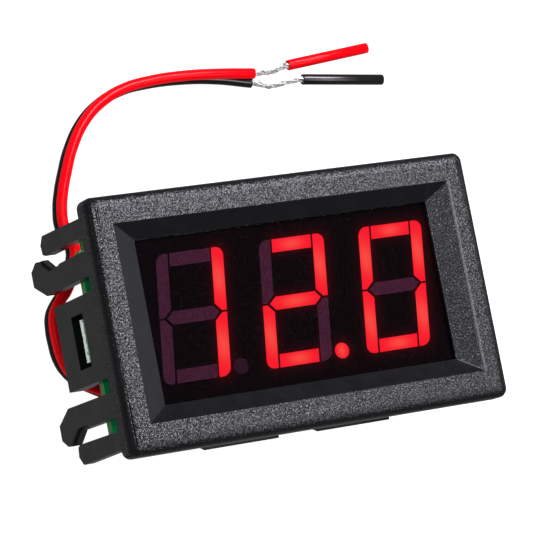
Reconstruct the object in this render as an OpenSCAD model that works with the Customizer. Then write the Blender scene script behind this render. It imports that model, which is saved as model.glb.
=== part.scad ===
// Snap-in digital panel meter with two wires, lying on the tips of its hooks, display facing +Z.
// +X runs to the reader's right and +Y to the top of the digits. The origin is in the plane that
// the meter lies on, below the middle of the bezel.

/* [Bezel] */
// Width of the bezel
bezel_w = 48; // [46.5:0.5:56]
// Height of the bezel
bezel_h = 29; // [28:0.5:34]
// Height of the rim's straight side
rim_t = 1.7; // [1.2:0.1:2.4]
// Radius of the rim's rounded front edge
edge_r = 1.2; // [0.6:0.1:1.4]
// Radius of the rim's four corners
corner_r = 0.6; // [0.3:0.1:1.4]
// Width of the flat frame between the front rounding and the recess, at the sides
frame_side_w = 1.55; // [1.2:0.05:2.2]
// Width of the flat frame between the front rounding and the recess, above and below
frame_top_w = 2.1; // [1.6:0.05:2.6]
// Depth of the sloped recess
slope_d = 1.4; // [1:0.1:1.8]
// Thickness of the lip that holds the window
lip_t = 0.5; // [0.4:0.1:1.2]
// How far the lip covers the edge of the display
lip_cover = 0.26; // [0.1:0.02:0.6]

/* [Body] */
// Width over the outer faces of the prongs, which is the width of the body
body_w = 45.2; // [44.2:0.2:46]
// Height of the body, over the top and bottom walls
body_h = 26.2; // [25.6:0.1:27.4]
// Thickness of the top and bottom walls
wall_t = 1.2; // [0.8:0.1:1.4]
// Length of the top and bottom walls, backwards from the bezel
wall_len = 10.4; // [9.8:0.1:12]
// Width of the top and bottom walls
wall_w = 36; // [30:1:40]
// Wall thickness of the collar round the display
collar_t = 1; // [0.6:0.1:1.2]
// Length of the collar
collar_len = 3; // [2:0.5:5]
// Thickness of the ribs between the collar and the walls
rib_t = 0.8; // [0.5:0.1:1.2]
// Length of the low sill that ties the prongs together at their roots
sill_len = 1.4; // [0.8:0.1:2]

/* [Snap tongues] */
// Width of a snap tongue
snap_w = 9.2; // [6:0.2:10]
// Distance from the middle of the meter to the middle of a snap tongue
snap_x = 7.2; // [6:0.2:9]
// Gap between the bezel and the first tooth, which is the thinnest panel it holds
snap_grip = 2.3; // [1:0.1:3]
// Length of the first tooth
snap_step_len = 2.45; // [1.5:0.05:3]
// Height of the first tooth above the wall
snap_step_h = 1.1; // [0.6:0.05:1.2]
// Height of the second tooth above the first
snap_crest_h = 0.3; // [0.1:0.05:0.4]
// Width of the slit at each side of a tongue
slit_w = 0.6; // [0.4:0.1:1]

/* [Prongs] */
// Thickness of the prongs and of the slotted plates
prong_t = 1.25; // [0.9:0.05:1.5]
// Length of the hook prongs, on whose tips the meter lies
hook_len = 20; // [18:0.5:24]
// Distance from the middle to the inner edge of a hook prong
hook_in = 6.6; // [6.2:0.1:6.8]
// Width of a hook prong
hook_w = 2.85; // [2.4:0.05:3.2]
// Height of the hook's tooth above the edge of its prong
tooth_h = 1.4; // [0.8:0.05:1.6]
// Length of the sloped flank of the tooth
flank_len = 2.4; // [1.5:0.1:3]
// Length of the rounded tip behind the flank
tip_len = 2.8; // [2:0.1:3.4]
// Length of the shallow notch before the tooth
notch_len = 3.1; // [2:0.1:4]
// Depth of the shallow notch
notch_d = 0.3; // [0.1:0.05:0.5]
// Thickness of the outer layer that has the notch
notch_t = 0.45; // [0.2:0.05:0.6]
// Length of the small prongs at the corners
small_len = 15.8; // [13:0.2:17]
// Width of a small prong
small_w = 2.1; // [1.6:0.1:2.4]
// How much a small prong widens outwards from the back of the thinnest panel to its tip
small_flare = 0.26; // [0.1:0.02:0.6]
// Length of the slotted plates
plate_len = 15.1; // [13:0.1:17]
// Height of the slotted plates
plate_h = 9.9; // [8.4:0.1:11]
// Height of the slot, along the board's edge
slot_h = 6.1; // [5.3:0.1:7]
// Space in the slot in front of the board
slot_front_gap = 0.8; // [0.1:0.1:1.4]
// Space in the slot behind the board
slot_back_gap = 1.5; // [0.1:0.1:2]
// How much thicker the plates are behind the slot, on the inner side
ledge_t = 0.5; // [0.3:0.05:0.55]

/* [Display] */
// Width of the display module
module_w = 37.6; // [36.8:0.1:38]
// Height of the display module
module_h = 19.1; // [18.6:0.1:19.6]
// Depth of the display module
module_d = 8.7; // [8:0.1:9]
// Clearance between the display module and its collar, at each side
module_gap = 0.1; // [0.05:0.05:0.3]
// Wall thickness of the display's case round the potting
case_t = 0.6; // [0.4:0.1:1]
// Depth of the potting at the back of the display
potting_d = 1.5; // [1:0.1:3]
// Thickness of the smoked window film
film_t = 0.25; // [0.1:0.05:0.5]
// Distance from digit to digit
digit_pitch = 12.8; // [12.2:0.1:12.9]
// How far the digits sit above the middle of the display
digit_rise = 0.15; // [0:0.05:0.3]
// Width of a digit
digit_w = 8.3; // [7.4:0.1:8.6]
// Height of a digit
digit_h = 14.5; // [13:0.1:14.8]
// Sideways lean of the digits for each unit of height
digit_lean = 0.133; // [0:0.001:0.16]
// Width of an upright segment
upright_w = 1.45; // [1.1:0.05:1.7]
// Width of a level segment
level_w = 1.5; // [1.1:0.05:1.7]
// Gap between two segments
segment_gap = 0.22; // [0.1:0.02:0.4]
// Corner radius of the digits
digit_r = 1; // [0.4:0.1:1.3]
// Diameter of a decimal point
point_d = 1.8; // [1.4:0.1:2]
// Distance from the middle of a digit to its decimal point
point_x = 5.45; // [5.3:0.05:5.6]
// Distance from the foot of the digits up to the middle of the point
point_rise = 0.85; // [0.7:0.05:1.2]
// Diameter of the display's pins
pin_d = 0.5; // [0.4:0.05:0.6]
// Distance from pin to pin
pin_pitch = 2.54; // [2:0.01:2.54]
// Number of pins in a row
pins_in_row = 6; // [4:1:7]
// Distance between the two rows of pins
pin_rows = 15.24; // [14.6:0.01:15.4]
// How far the pins stand out behind the board
pin_tail = 1.7; // [1.2:0.1:2.4]

/* [Board] */
// Thickness of the circuit board
board_t = 1.2; // [1:0.1:1.6]
// Gap between the board and the prongs, and between the board and the walls
board_gap = 0.05; // [0.05:0.05:0.2]
// Width of the board's side tab
tab_h = 4.9; // [4:0.1:5.1]
// How far the end of the tab lies below the plate's outer face
tab_inset = 0.35; // [0.2:0.05:0.8]
// Distance from the board's middle up to the notch in its left edge
edge_notch_y = 10.65; // [10.5:0.05:10.8]
// Width of that notch, along the edge
edge_notch_w = 1; // [0.6:0.1:1.2]
// Depth of that notch
edge_notch_d = 0.75; // [0.6:0.05:1]
// Clearance of a pin in its hole, on the diameter
pin_hole_gap = 0.4; // [0.2:0.05:0.5]
// Radius of the solder round a pin, on the board
solder_r = 0.8; // [0.7:0.05:1]
// Height of the solder round a pin
solder_h = 1.1; // [0.6:0.1:1.1]

/* [Cord] */
// Outer diameter of each wire
wire_d = 1.3; // [1.1:0.05:1.3]
// Diameter of the twisted bare strands
strand_d = 0.7; // [0.4:0.05:0.7]
// Bore of the insulation pieces at the ends of the strands
slug_bore_d = 0.8; // [0.75:0.05:0.9]
// Length of the red insulation piece
red_slug_len = 11.3; // [8:0.1:14]
// Length of the black insulation piece
black_slug_len = 11; // [8:0.1:14]
// Height of the solder where a wire meets the board
wire_solder_h = 0.85; // [0.85:0.01:0.86]

/* [Trimmer] */
// Side of the trimmer's square base
trimmer_w = 4; // [3.6:0.1:4.6]
// Height of the trimmer's base
trimmer_h = 1.5; // [1.2:0.1:2]
// Diameter of the turning disc
rotor_d = 2.9; // [2.2:0.1:3]
// Height of the turning disc
rotor_h = 0.6; // [0.5:0.05:0.8]
// Depth of the pocket that the disc turns in
pocket_d = 0.4; // [0.2:0.05:0.5]
// Clearance round the disc and its stem
rotor_gap = 0.05; // [0.03:0.01:0.08]
// Diameter of the disc's stem
stem_d = 0.8; // [0.6:0.1:1.2]
// Width of the driver slots
driver_w = 0.42; // [0.3:0.02:0.5]
// Depth of the driver slots
driver_d = 0.32; // [0.2:0.02:0.4]

/* [Hidden] */
$fn = 48;

// Cut this far past a face, so that no film is left
past = 1;

// Heights, from the display's window to the back of the board
bezel_t = rim_t + edge_r;
lip_front = bezel_t - slope_d;
lip_back = lip_front - lip_t;
film_back = lip_back - film_t;
module_back = film_back - module_d;
board_front = module_back;
board_back = board_front - board_t;

// The recess and the window
window_w = module_w - 2 * lip_cover;
window_h = module_h - 2 * lip_cover;
recess_w = bezel_w - 2 * (edge_r + frame_side_w);
recess_h = bezel_h - 2 * (edge_r + frame_top_w);

// The collar and the walls
collar_in_w = module_w + 2 * module_gap;
collar_in_h = module_h + 2 * module_gap;
collar_out_h = collar_in_h + 2 * collar_t;
wall_in = body_h / 2 - wall_t;
rib_places = [-1, 0, 1];
rib_step = snap_x + snap_w / 2 + slit_w + rib_t;

// The snap teeth, as heights above the wall and distances behind the bezel
crest_at = snap_grip + snap_step_len;
crest_len = 0.55;
step_rise = 0.1;
snap_run_out = wall_len - 1;

// The hook prongs
hook_out = hook_in + hook_w;
flank_slant = 0.4;
notch_ramp = 0.4;
flank_at = hook_len - tip_len - flank_len;
notch_at = flank_at - notch_len - notch_ramp;
tip_flat_in = 1.6;
tip_flat_out = 0.9;
tip_slant_len = 3.5;
tip_round = 0.9;
round_from = 45;
round_to = -30;
round_steps = 4;

// The small prongs
small_out = body_h / 2;
small_in = small_out - small_w;
small_tip = 1;

// The board
board_w = body_w - 2 * (prong_t + board_gap);
board_h = 2 * (wall_in - board_gap);
tab_reach = body_w / 2 - tab_inset;

// The digits: which segments glow, as a, b, c, d, e, f, g
left_lit = "bc";
middle_lit = "abdeg";
right_lit = "abcdef";
all_segments = "abcdefg";
half_w = digit_w / 2;
half_h = digit_h / 2;
upright_in = half_w - upright_w;
level_in = half_h - level_w;
level_end = upright_in - segment_gap;
bar_half = level_w / 2;
mitre = bar_half;
point_y = -half_h + point_rise;
segment_d = module_d - potting_d;

// The wires: the lower one lies on the surface below the hooks' tips
wire_ref = [1, 1, -1];
wire_sides = 8;
red_pad = [-14, -6.6];
black_pad = [-12.2, -8.5];
red_route = [
    [-14, -6.6, -10], [-14, -6.6, -11.6], [-14.3, -6.5, -13.7], [-15.2, -6.1, -15.8],
    [-16.6, -5.4, -17.4], [-18.2, -4.6, -18], [-19.7, -3.7, -18], [-21, -2.2, -18],
    [-21.6, -0.5, -18], [-21.8, 1.3, -18], [-21.8, 3, -18], [-21.5, 4.6, -18],
    [-20.6, 5.9, -18], [-19.45, 7.1, -18], [-18.6, 8.5, -18], [-18, 10, -18],
    [-17.5, 11.6, -18], [-17.75, 13.1, -18], [-18.3, 14.7, -18], [-18.2, 16.6, -18],
    [-17.65, 18.7, -18], [-16.7, 21.1, -18], [-15.4, 23.8, -18], [-13.3, 26.7, -18],
    [-10.8, 28.7, -18], [-7.5, 30.1, -18], [-4.2, 30.65, -18], [0.4, 30.85, -18],
    [5.1, 30.65, -18.02], [9.9, 30.3, -18.34]
];
black_route = [
    [-12.2, -8.5, -10], [-12.2, -8.5, -12], [-12.4, -8.4, -14.2], [-13.3, -7.8, -16.9],
    [-14.9, -6.6, -18.7], [-16.6, -5.3, -19.25], [-18.3, -4.3, -19.34], [-19.7, -3.4, -19.34],
    [-20.9, -2.1, -19.34], [-21.6, -0.5, -19.34], [-21.8, 1.3, -19.34], [-21.8, 3, -19.34],
    [-21.5, 4.6, -19.34], [-20.6, 5.9, -19.34], [-19.45, 7.1, -19.34], [-18.6, 8.5, -19.34],
    [-18, 10, -19.34], [-17.5, 11.6, -19.34], [-17.75, 13.1, -19.34], [-18.3, 14.7, -19.34],
    [-18.2, 16.6, -19.34], [-17.65, 18.7, -19.34], [-16.7, 21.1, -19.34], [-15.4, 23.8, -19.34],
    [-13.3, 26.7, -19.34], [-10.8, 28.7, -19.34], [-7.5, 30.1, -19.34], [-4.2, 30.6, -19.34],
    [0.4, 30.7, -19.34], [5.1, 30.3, -19.34], [9.8, 29.4, -19.34]
];
red_strands = [
    [9.92, 30.3, -18.35], [11, 30.35, -18.55], [12.1, 30.4, -18.85], [13.3, 30.6, -19.15],
    [14.4, 30.95, -19.32], [15.2, 31.06, -19.34], [16.7, 31.21, -19.34]
];
black_strands = [
    [9.82, 29.4, -19.34], [10.9, 29.15, -19.36], [12, 28.82, -19.38], [12.8, 28.82, -19.38],
    [14.2, 29, -19.36], [15.5, 29.15, -19.34], [16.8, 29.13, -19.34], [18.3, 28.98, -19.34]
];
red_slug_at = [15.2, 31.06, -19.34];
red_slug_turn = 5.8;
black_slug_at = [16.8, 29.13, -19.34];
black_slug_turn = -5.8;

// Where the parts sit on the back of the board
controller_at = [0, 0];
regulator_at = [13.5, 5.4];
tantalum_at = [13.5, 0.6];
diode_at = [13.5, -4.2];
trimmer_at = [-14.5, 4.6];
resistor_rows = [10.3, -10.3];
resistor_step = 3;
resistor_half_row = 7.5;
capacitor_places = [[8.6, 3.4], [8.6, -3.4], [-8.6, 2.2], [-8.6, -3.4], [18.6, 0.6]];
transistor_places = [[11.2, 9.8], [15.2, 9.8], [19.2, 9.8]];

// Sizes of the parts on the back of the board
controller_l = 10.3;
controller_w = 7.5;
controller_h = 2.3;
controller_legs = 8;
controller_pitch = 1.27;
leg_w = 0.4;
leg_t = 0.25;
leg_reach = 1.45;
leg_foot = 0.8;
stand_off = 0.15;
draft = 0.12;
regulator_l = 4.5;
regulator_w = 2.5;
regulator_h = 1.5;
regulator_pitch = 1.5;
tab_t = 0.4;
lead_out = 0.9;
diode_l = 4.3;
diode_w = 2.6;
diode_h = 2.2;
tantalum_l = 3.5;
tantalum_w = 2.8;
tantalum_h = 1.9;
terminal_w = 1.5;
chip_l = 2;
chip_w = 1.25;
resistor_h = 0.5;
resistor_cap_l = 0.35;
capacitor_h = 1;
capacitor_cap_l = 0.4;
transistor_l = 2.9;
transistor_w = 1.3;
transistor_h = 1;
transistor_pitch = 0.95;

// ---- profiles and helpers ----

// Extrudes a profile drawn in Y and Z along X, from x to x + len
module along_x(x, len) {
    translate([x, 0, 0])
        rotate([90, 0, 90])
            linear_extrude(len)
                children();
}

// Extrudes a profile drawn in X and Z along Y, centred, with Z kept upright
module along_y(len) {
    translate([0, len / 2, 0])
        rotate([90, 0, 0])
            linear_extrude(len)
                children();
}

// Raises a part from its place behind the bezel to its height above the resting plane
module lift() {
    translate([0, 0, hook_len])
        children();
}

module box(w, h, low, high) {
    translate([-w / 2, -h / 2, low])
        cube([w, h, high - low]);
}

module both_sides() {
    children();
    mirror([1, 0, 0]) children();
}

module top_and_bottom() {
    children();
    mirror([0, 1, 0]) children();
}

// Puts a part on the back of the board, with its own Z pointing away from the board
module on_back(at) {
    translate([at[0], at[1], board_back])
        mirror([0, 0, 1])
            children();
}

function arc(centre, r, from, to, steps) = [
    for (i = [0 : steps])
        let (a = from + (to - from) * i / steps)
            [centre[0] + r * cos(a), centre[1] + r * sin(a)]
];

function lean(points) = [for (p = points) [p[0] + digit_lean * p[1], p[1]]];

// ---- housing ----

// A bar as long as the plate, with quarter-round front edges, along X
module rounded_bar(len, width) {
    axis_y = width / 2 - edge_r;
    box(len + 2 * past, 2 * axis_y, -past, bezel_t);
    box(len + 2 * past, width, -past, rim_t);
    for (sy = [-1, 1])
        translate([-len / 2 - past, sy * axis_y, rim_t])
            rotate([0, 90, 0]) cylinder(r = edge_r, h = len + 2 * past);
}

// The plate, whose front roundings meet in mitres at the corners
module bezel_block() {
    corner_x = bezel_w / 2 - corner_r;
    corner_y = bezel_h / 2 - corner_r;
    intersection() {
        rounded_bar(bezel_w, bezel_h);
        rotate([0, 0, 90]) rounded_bar(bezel_h, bezel_w);
        union() {
            box(bezel_w, 2 * corner_y, 0, bezel_t + past);
            box(2 * corner_x, bezel_h, 0, bezel_t + past);
            for (sx = [-1, 1], sy = [-1, 1])
                translate([sx * corner_x, sy * corner_y, 0])
                    cylinder(r = corner_r, h = bezel_t + past);
        }
    }
}

// The opening: four slopes that meet in mitres, then the straight window
module recess_cut() {
    grow_w = past * (recess_w - window_w) / 2 / slope_d;
    grow_h = past * (recess_h - window_h) / 2 / slope_d;
    intersection() {
        along_y(bezel_h)
            polygon([
                [-window_w / 2, lip_front],
                [window_w / 2, lip_front],
                [recess_w / 2 + grow_w, bezel_t + past],
                [-recess_w / 2 - grow_w, bezel_t + past]
            ]);
        along_x(-bezel_w / 2, bezel_w)
            polygon([
                [-window_h / 2, lip_front],
                [window_h / 2, lip_front],
                [recess_h / 2 + grow_h, bezel_t + past],
                [-recess_h / 2 - grow_h, bezel_t + past]
            ]);
    }
    box(window_w, window_h, lip_back - past, lip_front + past);
    box(collar_in_w, collar_in_h, -past, lip_back);
}

module collar() {
    difference() {
        box(collar_in_w + 2 * collar_t, collar_out_h, -collar_len, 0);
        box(collar_in_w, collar_in_h, -collar_len - past, past);
    }
}

module ribs() {
    for (i = rib_places)
        top_and_bottom()
            translate([i * rib_step - rib_t / 2, collar_out_h / 2, -collar_len])
                cube([rib_t, wall_in - collar_out_h / 2, collar_len]);
}

// One long wall, slit on both sides of each snap tongue
module long_wall() {
    difference() {
        translate([-wall_w / 2, wall_in, -wall_len])
            cube([wall_w, wall_t, wall_len]);
        for (side = [-1, 1], edge = [-1, 1])
            translate([
                side * snap_x + edge * (snap_w + slit_w) / 2 - slit_w / 2,
                wall_in - past,
                -wall_len - past
            ])
                cube([slit_w, wall_t + 2 * past, wall_len + past - sill_len]);
    }
}

// Two teeth in a row, for two panel thicknesses, with a long lead-in slope behind them
module snap_teeth() {
    foot = body_h / 2;
    crest = foot + snap_step_h + snap_crest_h;
    for (side = [-1, 1])
        along_x(side * snap_x - snap_w / 2, snap_w)
            polygon([
                [foot, -snap_grip],
                [foot + snap_step_h - step_rise, -snap_grip],
                [foot + snap_step_h, -crest_at],
                [crest, -crest_at],
                [crest, -crest_at - crest_len],
                [foot, -snap_run_out]
            ]);
}

// A hook prong's outline in Y and Z. The depth is the notch's, and the flank ends that far below
// the crest, where the rounding starts at the given angle.
module hook_outline(depth, slant, rounded_from) {
    edge = hook_out - depth;
    flank_end = hook_len - tip_len;
    crest = hook_out + tooth_h;
    polygon(concat(
        [
            [hook_in, 0],
            [hook_out, 0],
            [hook_out, -notch_at],
            [edge, -notch_at - notch_ramp],
            [edge, -flank_at],
            [crest - slant, -flank_end]
        ],
        arc([crest - tip_round, -flank_end - tip_round], tip_round, rounded_from, round_to, round_steps),
        [
            [crest - tip_flat_out, -hook_len],
            [hook_in + tip_flat_in, -hook_len],
            [hook_in, -hook_len + tip_slant_len]
        ]
    ));
}

// A hook prong at +X and +Y: a notched outer layer and a plain inner one with a fuller tooth
module hook_prong() {
    outer_x = body_w / 2;
    along_x(outer_x - prong_t, prong_t - notch_t)
        hook_outline(0, 0, 0);
    along_x(outer_x - notch_t, notch_t)
        hook_outline(notch_d, flank_slant, round_from);
}

// A small corner prong that widens towards its tip
module small_prong() {
    tip_out = small_out + small_flare;
    along_x(body_w / 2 - prong_t, prong_t)
        polygon([
            [small_in, 0],
            [small_out, 0],
            [small_out, -snap_grip],
            [tip_out, -small_len + small_tip],
            [tip_out - small_tip, -small_len],
            [small_in + small_tip / 4, -small_len + small_tip / 4],
            [small_in, -small_len + small_tip]
        ]);
}

module slotted_plate() {
    slot_low = board_back - slot_back_gap;
    slot_high = board_front + slot_front_gap;
    difference() {
        translate([body_w / 2 - prong_t, -plate_h / 2, -plate_len])
            cube([prong_t, plate_h, plate_len]);
        translate([body_w / 2 - prong_t - past, -slot_h / 2, slot_low])
            cube([prong_t + 2 * past, slot_h, slot_high - slot_low]);
    }
    translate([body_w / 2 - prong_t - ledge_t, -plate_h / 2, -plate_len])
        cube([ledge_t, plate_h, plate_len + slot_low]);
}

module sill() {
    translate([body_w / 2 - prong_t, -body_h / 2, -sill_len])
        cube([prong_t, body_h, sill_len]);
}

module housing() {
    color("#2b2b2d") lift() {
        difference() {
            bezel_block();
            recess_cut();
        }
        collar();
        ribs();
        top_and_bottom() {
            long_wall();
            snap_teeth();
        }
        both_sides() {
            sill();
            slotted_plate();
            top_and_bottom() {
                hook_prong();
                small_prong();
            }
        }
    }
}

// ---- display ----

module window_film() {
    color("#1c0a10", 0.6) lift()
        box(module_w, module_h, film_back, lip_back);
}

// Upper left upright, from the digit's middle to its top
function upright_points() = concat(
    [
        [-half_w, segment_gap / 2],
        [-half_w + upright_w - mitre - segment_gap / 2, segment_gap / 2],
        [-upright_in, mitre + segment_gap],
        [-upright_in, half_h]
    ],
    arc([-half_w + digit_r, half_h - digit_r], digit_r, 90, 180, 6)
);

function level_points(low) = [
    [-level_end, low],
    [level_end, low],
    [level_end, low + level_w],
    [-level_end, low + level_w]
];

function bar_points() = [
    [-level_end - mitre, 0],
    [-level_end, -bar_half],
    [level_end, -bar_half],
    [level_end + mitre, 0],
    [level_end, bar_half],
    [-level_end, bar_half]
];

function flip_x(points) = [for (p = points) [-p[0], p[1]]];
function flip_y(points) = [for (p = points) [p[0], -p[1]]];

function segment_points(name) =
    name == "a" ? level_points(level_in)
    : name == "b" ? flip_x(upright_points())
    : name == "c" ? flip_x(flip_y(upright_points()))
    : name == "d" ? level_points(-half_h)
    : name == "e" ? flip_y(upright_points())
    : name == "f" ? upright_points()
    : bar_points();

// The named segments of one digit, from the display's face down to the potting
module segments(place, names) {
    translate([place * digit_pitch, digit_rise, film_back - segment_d])
        for (name = names)
            linear_extrude(segment_d)
                polygon(lean(segment_points(name)));
}

function dark_names(lit) = [for (s = all_segments) if (len(search(s, lit)) == 0) s];

module point(place) {
    translate([
        place * digit_pitch + point_x + digit_lean * point_y,
        point_y + digit_rise,
        film_back - segment_d
    ])
        cylinder(d = point_d, h = segment_d);
}

module display_case() {
    color("#141214") lift()
        difference() {
            box(module_w, module_h, module_back, film_back);
            box(module_w - 2 * case_t, module_h - 2 * case_t, module_back - past, module_back + potting_d);
            for (place = [-1, 0, 1])
                translate([0, 0, past / 2]) segments(place, all_segments);
            for (place = [-1, 0, 1])
                segments(place, all_segments);
            for (place = [-1, 0]) {
                point(place);
                translate([0, 0, past / 2]) point(place);
            }
        }
}

module display_potting() {
    color("#d9d4c4") lift()
        box(module_w - 2 * case_t, module_h - 2 * case_t, module_back, module_back + potting_d);
}

// Runs its children at every pin of the display
module at_pins(z) {
    for (i = [0 : pins_in_row - 1], row = [-1, 1])
        translate([(i - (pins_in_row - 1) / 2) * pin_pitch, row * pin_rows / 2, z])
            children();
}

module display_pins() {
    color("#c8c8cc") lift()
        at_pins(board_back - pin_tail)
            cylinder(d = pin_d, h = board_t + pin_tail);
}

module left_digit_lit() { color("#ff2028") lift() segments(-1, left_lit); }
module left_digit_dark() { color("#4b2337") lift() segments(-1, dark_names(left_lit)); }
module middle_digit_lit() { color("#ff2028") lift() segments(0, middle_lit); }
module middle_digit_dark() { color("#4b2337") lift() segments(0, dark_names(middle_lit)); }
module right_digit_lit() { color("#ff2028") lift() segments(1, right_lit); }
module right_digit_dark() { color("#4b2337") lift() segments(1, dark_names(right_lit)); }
module point_lit() { color("#ff3030") lift() point(0); }
module point_dark() { color("#33202c") lift() point(-1); }

// ---- board ----

module circuit_board() {
    color("#0d8a4a") lift()
        difference() {
            union() {
                box(board_w, board_h, board_back, board_front);
                box(2 * tab_reach, tab_h, board_back, board_front);
            }
            at_pins(board_back - past)
                cylinder(d = pin_d + pin_hole_gap, h = board_t + 2 * past);
            translate([-board_w / 2 - past, edge_notch_y - edge_notch_w / 2, board_back - past])
                cube([edge_notch_d + past, edge_notch_w, board_t + 2 * past]);
        }
}

module pin_solder() {
    color("#b9bcc0") lift()
        difference() {
            at_pins(board_back - solder_h)
                cylinder(r1 = pin_d * 0.8, r2 = solder_r, h = solder_h);
            at_pins(board_back - solder_h - past)
                cylinder(d = pin_d, h = solder_h + 2 * past);
        }
}

module wire_solder() {
    color("#b9bcc0") lift()
        for (pad = [red_pad, black_pad])
            on_back(pad)
                cylinder(r1 = wire_d * 0.85, r2 = wire_d / 2, h = wire_solder_h);
}

// A moulded package with drafted sides, lifted off the board
module package(l, w, h) {
    middle = stand_off + h / 2;
    top = stand_off + h;
    intersection() {
        along_y(w)
            polygon([
                [-l / 2 + draft, stand_off], [l / 2 - draft, stand_off], [l / 2, middle],
                [l / 2 - draft, top], [-l / 2 + draft, top], [-l / 2, middle]
            ]);
        along_x(-l / 2, l)
            polygon([
                [-w / 2 + draft, stand_off], [w / 2 - draft, stand_off], [w / 2, middle],
                [w / 2 - draft, top], [-w / 2 + draft, top], [-w / 2, middle]
            ]);
    }
}

// A gull-wing leg that leaves a package at the height z and stands on the board
module leg(edge, reach, foot, z, w) {
    along_x(-w / 2, w)
        polygon([
            [edge, z],
            [edge, z + leg_t],
            [edge + reach - foot, z + leg_t],
            [edge + reach - foot + leg_t, leg_t],
            [edge + reach, leg_t],
            [edge + reach, 0],
            [edge + reach - foot, 0],
            [edge + reach - foot - leg_t, z]
        ]);
}

module controller_body() {
    color("#1a1a1c") lift()
        on_back(controller_at)
            package(controller_l, controller_w, controller_h);
}

module controller_leads() {
    color("#b9bcc0") lift()
        on_back(controller_at)
            for (i = [0 : controller_legs - 1])
                translate([(i - (controller_legs - 1) / 2) * controller_pitch, 0, 0])
                    top_and_bottom()
                        leg(controller_w / 2, leg_reach, leg_foot, stand_off + controller_h / 2, leg_w);
}

module regulator_body() {
    color("#1a1a1c") lift()
        on_back(regulator_at)
            package(regulator_l, regulator_w, regulator_h);
}

module regulator_tabs() {
    color("#b9bcc0") lift()
        on_back(regulator_at) {
            for (i = [-1, 0, 1])
                translate([i * regulator_pitch - leg_w / 2, -regulator_w / 2 - lead_out, 0])
                    cube([leg_w, lead_out, tab_t]);
            translate([-terminal_w / 2, regulator_w / 2, 0])
                cube([terminal_w, lead_out, tab_t]);
            box(regulator_l / 2, regulator_w / 2, 0, stand_off);
        }
}

// A strip that climbs each end of a package to its middle and has a foot on the board
module end_terminals(l, h, w) {
    both_sides()
        along_y(w)
            polygon([
                [l / 2, stand_off + h / 2],
                [l / 2 + leg_t, stand_off + h / 2],
                [l / 2 + leg_t, 0],
                [l / 2 - leg_foot, 0],
                [l / 2 - leg_foot, stand_off],
                [l / 2, stand_off]
            ]);
}

module diode_body() {
    color("#1a1a1c") lift() on_back(diode_at) package(diode_l, diode_w, diode_h);
}

module diode_terminals() {
    color("#b9bcc0") lift() on_back(diode_at) end_terminals(diode_l, diode_h, terminal_w);
}

module tantalum_body() {
    color("#d69a3c") lift() on_back(tantalum_at) package(tantalum_l, tantalum_w, tantalum_h);
}

module tantalum_terminals() {
    color("#b9bcc0") lift() on_back(tantalum_at) end_terminals(tantalum_l, tantalum_h, terminal_w);
}

module at_resistors() {
    for (row = resistor_rows, x = [-resistor_half_row : resistor_step : resistor_half_row])
        on_back([x, row]) children();
}

module at_capacitors() {
    for (place = capacitor_places)
        on_back(place) rotate([0, 0, 90]) children();
}

module resistor_bodies() {
    color("#26262a") lift()
        at_resistors() box(chip_l - 2 * resistor_cap_l, chip_w, 0, resistor_h);
}

module resistor_caps() {
    color("#b9bcc0") lift()
        at_resistors()
            both_sides()
                translate([chip_l / 2 - resistor_cap_l, -chip_w / 2, 0])
                    cube([resistor_cap_l, chip_w, resistor_h]);
}

module capacitor_bodies() {
    color("#a5784f") lift()
        at_capacitors() box(chip_l - 2 * capacitor_cap_l, chip_w, 0, capacitor_h);
}

module capacitor_caps() {
    color("#b9bcc0") lift()
        at_capacitors()
            both_sides()
                translate([chip_l / 2 - capacitor_cap_l, -chip_w / 2, 0])
                    cube([capacitor_cap_l, chip_w, capacitor_h]);
}

module transistor_bodies() {
    color("#1a1a1c") lift()
        for (place = transistor_places)
            on_back(place) package(transistor_l, transistor_w, transistor_h);
}

module transistor_leads() {
    leg_z = stand_off + transistor_h / 2;
    color("#b9bcc0") lift()
        for (place = transistor_places)
            on_back(place) {
                for (side = [-1, 1])
                    translate([side * transistor_pitch, 0, 0])
                        leg(transistor_w / 2, leg_foot, leg_w, leg_z, leg_w);
                mirror([0, 1, 0]) leg(transistor_w / 2, leg_foot, leg_w, leg_z, leg_w);
            }
}

// ---- trimmer ----

module trimmer_base() {
    color("#e9e6df") lift()
        on_back(trimmer_at)
            difference() {
                box(trimmer_w, trimmer_w, 0, trimmer_h);
                translate([0, 0, trimmer_h - pocket_d])
                    cylinder(r = rotor_d / 2 + rotor_gap, h = pocket_d + past);
                translate([0, 0, -past])
                    cylinder(r = stem_d / 2 + rotor_gap, h = trimmer_h + past);
            }
}

module trimmer_terminals() {
    edge = trimmer_w / 2;
    color("#b9bcc0") lift()
        on_back(trimmer_at) {
            for (side = [-1, 1])
                translate([side * trimmer_w / 4 - leg_w, edge, 0])
                    cube([2 * leg_w, lead_out / 2, trimmer_h / 2]);
            translate([-terminal_w / 2, -edge - lead_out / 2, 0])
                cube([terminal_w, lead_out / 2, trimmer_h / 2]);
        }
}

// A disc with a crossed driver slot and a pointer notch, on a stem
module trimmer_rotor() {
    low = trimmer_h - pocket_d + rotor_gap;
    high = low + rotor_h;
    color("#c9b37a") lift()
        on_back(trimmer_at)
            difference() {
                union() {
                    translate([0, 0, low]) cylinder(d = rotor_d, h = rotor_h);
                    translate([0, 0, rotor_gap]) cylinder(d = stem_d, h = low);
                }
                for (turn = [0, 90])
                    rotate([0, 0, turn])
                        box(rotor_d * 0.72, driver_w, high - driver_d, high + past);
                translate([rotor_d / 2 - driver_w / 2, -driver_w / 2, high - driver_d])
                    cube([driver_w, driver_w, driver_d + past]);
            }
}

// ---- cord ----

function unit(v) = v / norm(v);

// The direction of a route at its point i
function heading(route, i) =
    unit(route[min(i + 1, len(route) - 1)] - route[max(i - 1, 0)]);

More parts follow.
